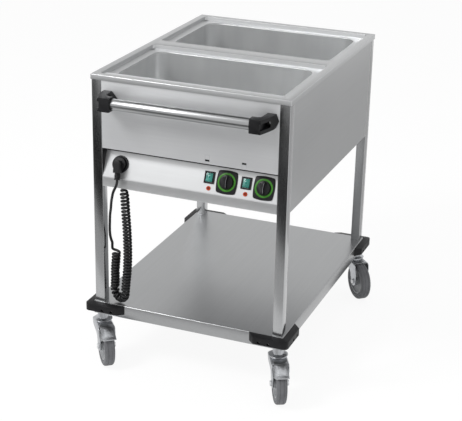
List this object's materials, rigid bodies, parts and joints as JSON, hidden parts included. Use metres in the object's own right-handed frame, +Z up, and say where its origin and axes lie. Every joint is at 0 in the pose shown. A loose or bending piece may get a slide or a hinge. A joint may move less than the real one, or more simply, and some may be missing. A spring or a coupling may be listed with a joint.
{
  "type": "hostess trolley",
  "caption": "Heated serving trolley: open wet wells in a stainless body, lower shelf with corner bumpers, push handle, slanted control panel, braked swivel castors and a curly mains cord.",
  "frame": {"origin": "on the floor, under the centre of the four castors' swivel axes", "axes": "+Z up; -Y towards the push handle and the control panel; +X to the right of a person who stands before the control panel and looks at it"},
  "size_m": [0.6893, 0.9087, 0.91],
  "materials": {
    "steel": "satin brushed stainless sheet",
    "well_steel": "satin deep-drawn stainless sheet",
    "handle_steel": "polished stainless tube",
    "bumper_plastic": "matt",
    "black_plastic": "fine grained",
    "knob_plastic": "satin",
    "rocker_green": "glossy, translucent",
    "dial_green": "printed",
    "lamp_lens": "glossy, translucent",
    "plug_rubber": "satin",
    "cord_rubber": "matt",
    "inner_plastic": "plain",
    "heater_steel": "dark annealed",
    "castor_zinc": "bright zinc plated",
    "screw_zinc": "zinc plated",
    "wheel_hub": "plain",
    "tyre_rubber": "non-marking grey rubber"
  },
  "bodies": {
    "cart": {"top_plate": "steel", "front_well": "well_steel", "rear_well": "well_steel", "front_panel": "steel", "left_panel": "steel", "right_panel": "steel", "back_panel": "steel", "control_panel": "steel", "bottom_cover": "steel", "leg_front_left": "steel", "leg_front_right": "steel", "leg_rear_left": "steel", "leg_rear_right": "steel", "bottom_shelf": "steel", "bumper_front_left": "bumper_plastic", "bumper_front_right": "bumper_plastic", "bumper_rear_left": "bumper_plastic", "bumper_rear_right": "bumper_plastic", "bumper_screws": "screw_zinc", "handle_tube": "handle_steel", "handle_bracket_left": "black_plastic", "handle_bracket_right": "black_plastic", "handle_screws": "screw_zinc", "switch_frame_front": "black_plastic", "switch_frame_rear": "black_plastic", "pilot_lamps": "lamp_lens", "thermostat_plate_front": "black_plastic", "thermostat_plate_rear": "black_plastic", "dial_rings": "dial_green", "thermostat_bodies": "inner_plastic", "heating_elements": "heater_steel", "terminal_block": "inner_plastic", "parking_socket": "black_plastic", "plug": "plug_rubber", "straight_cord": "cord_rubber", "curly_cord": "cord_rubber", "cable_gland": "black_plastic", "castor_fittings": "castor_zinc"},
    "rocker_front": {"rocker_front": "rocker_green"},
    "rocker_rear": {"rocker_rear": "rocker_green"},
    "knob_front": {"knob_front": "knob_plastic"},
    "knob_rear": {"knob_rear": "knob_plastic"},
    "castor_front_left": {"fork_front_left": "castor_zinc", "axle_front_left": "screw_zinc"},
    "wheel_front_left": {"hub_front_left": "wheel_hub", "tyre_front_left": "tyre_rubber"},
    "castor_front_right": {"fork_front_right": "castor_zinc", "axle_front_right": "screw_zinc"},
    "wheel_front_right": {"hub_front_right": "wheel_hub", "tyre_front_right": "tyre_rubber"},
    "castor_rear_left": {"fork_rear_left": "castor_zinc", "axle_rear_left": "screw_zinc"},
    "wheel_rear_left": {"hub_rear_left": "wheel_hub", "tyre_rear_left": "tyre_rubber"},
    "castor_rear_right": {"fork_rear_right": "castor_zinc", "axle_rear_right": "screw_zinc"},
    "wheel_rear_right": {"hub_rear_right": "wheel_hub", "tyre_rear_right": "tyre_rubber"},
    "pedal_left": {"brake_pedal_left": "castor_zinc"},
    "pedal_right": {"brake_pedal_right": "castor_zinc"}
  },
  "joints": [
    {"name": "swivel_front_left", "type": "hinge", "parent": "cart", "child": "castor_front_left", "pos_m": [-0.285, -0.385, 0.1325], "axis": [0, 0, 1], "continuous": true},
    {"name": "axle_front_left", "type": "hinge", "parent": "castor_front_left", "child": "wheel_front_left", "pos_m": [-0.25857, -0.41764, 0.0625], "axis": [0.7771, 0.6293, 0], "continuous": true},
    {"name": "swivel_front_right", "type": "hinge", "parent": "cart", "child": "castor_front_right", "pos_m": [0.285, -0.385, 0.1325], "axis": [0, 0, 1], "continuous": true},
    {"name": "axle_front_right", "type": "hinge", "parent": "castor_front_right", "child": "wheel_front_right", "pos_m": [0.30472, -0.42208, 0.0625], "axis": [0.8829, 0.4695, 0], "continuous": true},
    {"name": "swivel_rear_left", "type": "hinge", "parent": "cart", "child": "castor_rear_left", "pos_m": [-0.285, 0.385, 0.1325], "axis": [0, 0, 1], "continuous": true},
    {"name": "axle_rear_left", "type": "hinge", "parent": "castor_rear_left", "child": "wheel_rear_left", "pos_m": [-0.264, 0.34863, 0.0625], "axis": [0.866, 0.5, 0], "continuous": true},
    {"name": "swivel_rear_right", "type": "hinge", "parent": "cart", "child": "castor_rear_right", "pos_m": [0.285, 0.385, 0.1325], "axis": [0, 0, 1], "continuous": true},
    {"name": "axle_rear_right", "type": "hinge", "parent": "castor_rear_right", "child": "wheel_rear_right", "pos_m": [0.3131, 0.35379, 0.0625], "axis": [0.7431, 0.6691, 0], "continuous": true},
    {"name": "brake_left", "type": "hinge", "parent": "castor_front_left", "child": "pedal_left", "pos_m": [-0.25228, -0.42541, 0.12], "axis": [0.7771, 0.6293, 0], "range_deg": [0, 4]},
    {"name": "brake_right", "type": "hinge", "parent": "castor_front_right", "child": "pedal_right", "pos_m": [0.30941, -0.43091, 0.12], "axis": [0.8829, 0.4695, 0], "range_deg": [0, 4]},
    {"name": "switch_front", "type": "hinge", "parent": "cart", "child": "rocker_front", "pos_m": [0.0605, -0.38106, 0.6464], "axis": [1, 0, 0], "range_deg": [0, 12]},
    {"name": "switch_rear", "type": "hinge", "parent": "cart", "child": "rocker_rear", "pos_m": [0.1721, -0.38106, 0.6464], "axis": [1, 0, 0], "range_deg": [0, 12]},
    {"name": "thermostat_front", "type": "hinge", "parent": "cart", "child": "knob_front", "pos_m": [0.1141, -0.38487, 0.64116], "axis": [0, -0.9225, 0.3859], "range_deg": [-270, 0]},
    {"name": "thermostat_rear", "type": "hinge", "parent": "cart", "child": "knob_rear", "pos_m": [0.2257, -0.38487, 0.64116], "axis": [0, -0.9225, 0.3859], "range_deg": [-270, 0]}
  ]
}
